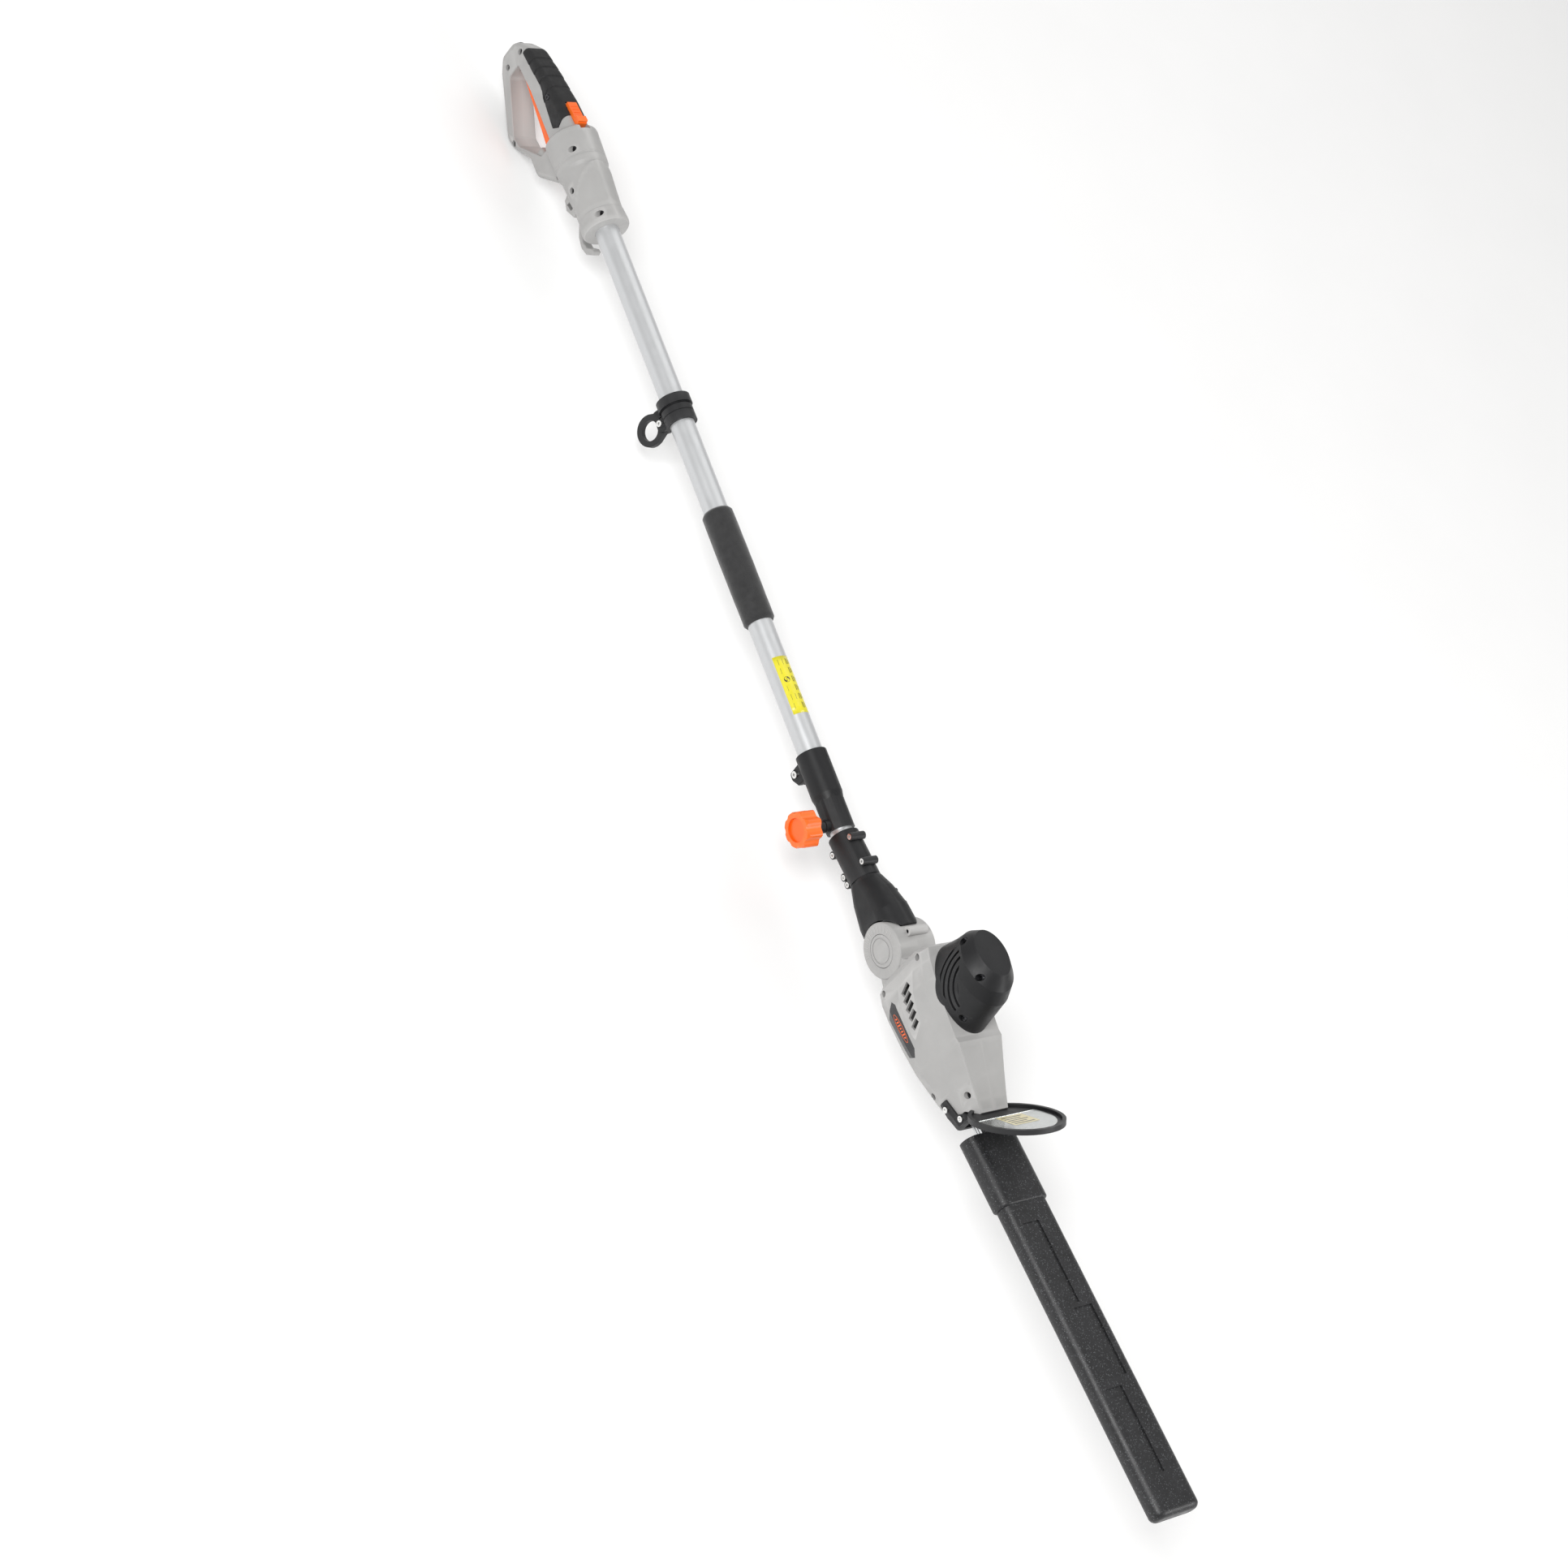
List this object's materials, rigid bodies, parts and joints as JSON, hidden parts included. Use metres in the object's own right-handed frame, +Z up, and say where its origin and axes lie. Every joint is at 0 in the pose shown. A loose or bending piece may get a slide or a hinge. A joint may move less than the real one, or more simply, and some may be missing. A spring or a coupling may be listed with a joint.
{
  "type": "pole hedge trimmer",
  "caption": "Long telescopic pole with a closed D handle and trigger at one end and a tilting electric motor head with a sheathed double-sided hedge cutter bar at the other.",
  "frame": {"origin": "on the pole axis, on the bare tube between the foam grip and the coupling, where a rack hook holds it", "axes": "+X along the pole towards the blades, +Z up on the motor side, +Y to the right seen from the handle"},
  "size_m": [1.8107, 0.1075, 0.2394],
  "materials": {
    "grey_plastic": "fine-grained light grey moulding",
    "soft_black": "matt soft grip moulding",
    "black_rubber": "matt rubber",
    "black_plastic": "fine-grained black moulding",
    "gloss_black": "smooth black moulding",
    "orange_plastic": "satin orange moulding",
    "foam_black": "closed-cell foam",
    "tube_alloy": "satin anodised tube",
    "cast_alloy": "as-cast light alloy",
    "screw_steel": "dark zinc-plated steel",
    "bright_screw": "bright zinc-plated steel",
    "spring_steel": "spring wire",
    "bearing_steel": "ground steel",
    "gear_steel": "sintered steel",
    "core_steel": "laminated steel with varnished windings",
    "blade_steel": "punched and ground steel",
    "brass": "turned brass",
    "carbon": "pressed carbon",
    "clear_plastic": "clear, faintly smoky sheet",
    "sheath_black": "black moulding with a fine sparkle grain"
  },
  "bodies": {
    "upper_pole": {"handle_shell_left": "grey_plastic", "handle_shell_right": "grey_plastic", "handle_soft_grip": "soft_black", "handle_screws": "screw_steel", "cable_gland": "black_rubber", "main_switch": "black_plastic", "trigger_pin": "screw_steel", "trigger_spring": "spring_steel", "hanging_hook": "grey_plastic", "upper_tube": "tube_alloy", "foam_grip": "foam_black", "coupling_sleeve": "black_plastic", "coupling_screw": "bright_screw", "stud_insert": "brass"},
    "trigger": {"trigger": "orange_plastic"},
    "lock_off": {"lock_off_slide": "orange_plastic"},
    "strap_clamp": {"strap_band": "black_plastic", "strap_ring": "black_plastic", "strap_screw": "bright_screw"},
    "lock_knob": {"lock_knob": "orange_plastic", "knob_stem": "black_plastic", "knob_stud": "screw_steel"},
    "lower_pole": {"inner_tube": "tube_alloy", "tube_end_bush": "black_plastic", "clamp_sleeve_left": "black_plastic", "clamp_sleeve_right": "black_plastic", "clamp_sleeve_screws": "bright_screw", "neck_left": "black_plastic", "neck_right": "black_plastic", "neck_screws": "screw_steel", "tilt_tongue": "cast_alloy"},
    "head": {"head_shell_left": "grey_plastic", "head_shell_right": "grey_plastic", "head_screws": "screw_steel", "vent_inlays": "grey_plastic", "badge_plates": "gloss_black", "pivot_bolt": "bright_screw", "pivot_cap": "grey_plastic", "motor_cap_left": "black_plastic", "motor_cap_right": "black_plastic", "motor_stator": "core_steel", "carbon_brushes": "carbon", "bearing_bridge": "black_plastic", "motor_bearings": "bearing_steel", "bearing_plate": "cast_alloy", "blade_bar": "blade_steel", "blade_bolts": "screw_steel", "guard_rim": "black_plastic", "guard_window": "clear_plastic", "guard_screws": "bright_screw"},
    "release_button": {"release_button": "grey_plastic"},
    "rotor": {"motor_rotor": "core_steel", "cooling_fan": "black_plastic", "motor_pinion": "bearing_steel"},
    "gear": {"drive_gear": "gear_steel", "eccentric_shaft": "gear_steel"},
    "upper_blade": {"upper_blade": "blade_steel"},
    "lower_blade": {"lower_blade": "blade_steel"},
    "blade_sheath": {"blade_sheath": "sheath_black"}
  },
  "joints": [
    {"name": "trigger_squeeze", "type": "hinge", "parent": "upper_pole", "child": "trigger", "pos_m": [-0.874, 0, -0.012], "axis": [0, -1, 0], "range_deg": [0, 6], "stiffness_Nm_per_rad": 2, "springref_deg": -2.86, "deforming": ["trigger_spring"]},
    {"name": "lock_off_push", "type": "slide", "parent": "upper_pole", "child": "lock_off", "axis": [0.9925, 0, 0.1219], "range_m": [0, 0.005], "stiffness_N_per_m": 400, "springref_m": -0.002},
    {"name": "strap_clamp_slide", "type": "slide", "parent": "upper_pole", "child": "strap_clamp", "axis": [1, 0, 0], "range_m": [-0.2, 0.1]},
    {"name": "lock_knob_turn", "type": "hinge", "parent": "upper_pole", "child": "lock_knob", "pos_m": [0.1105, 0, 0], "axis": [0, -1, 0], "range_deg": [-360, 360]},
    {"name": "telescope_slide", "type": "slide", "parent": "upper_pole", "child": "lower_pole", "axis": [1, 0, 0], "range_m": [0, 0.45]},
    {"name": "head_tilt", "type": "hinge", "parent": "lower_pole", "child": "head", "pos_m": [0.26316, 0, 0.01885], "axis": [0, 1, 0], "range_deg": [0, 60]},
    {"name": "release_push", "type": "slide", "parent": "head", "child": "release_button", "axis": [0, 1, 0], "range_m": [0, 0.0025], "stiffness_N_per_m": 600, "springref_m": -0.001},
    {"name": "motor_spin", "type": "hinge", "parent": "head", "child": "rotor", "pos_m": [0.34645, 0, 0.02981], "axis": [-0.1305, 0, 0.9914], "continuous": true},
    {"name": "gear_spin", "type": "hinge", "parent": "head", "child": "gear", "pos_m": [0.37991, 0, 0.03422], "axis": [-0.1305, 0, 0.9914], "continuous": true},
    {"name": "upper_blade_stroke", "type": "slide", "parent": "head", "child": "upper_blade", "axis": [0.9914, 0, 0.1305], "range_m": [-0.004, 0.004]},
    {"name": "lower_blade_stroke", "type": "slide", "parent": "head", "child": "lower_blade", "axis": [0.9914, 0, 0.1305], "range_m": [-0.004, 0.004]},
    {"name": "sheath_pull", "type": "slide", "parent": "head", "child": "blade_sheath", "axis": [0.9914, 0, 0.1305], "range_m": [0, 0.43]}
  ],
  "couplings": [
    {"joint": "gear_spin", "follows": "motor_spin", "ratio": -0.2},
    {"joint": "lower_blade_stroke", "follows": "upper_blade_stroke", "ratio": -1}
  ]
}
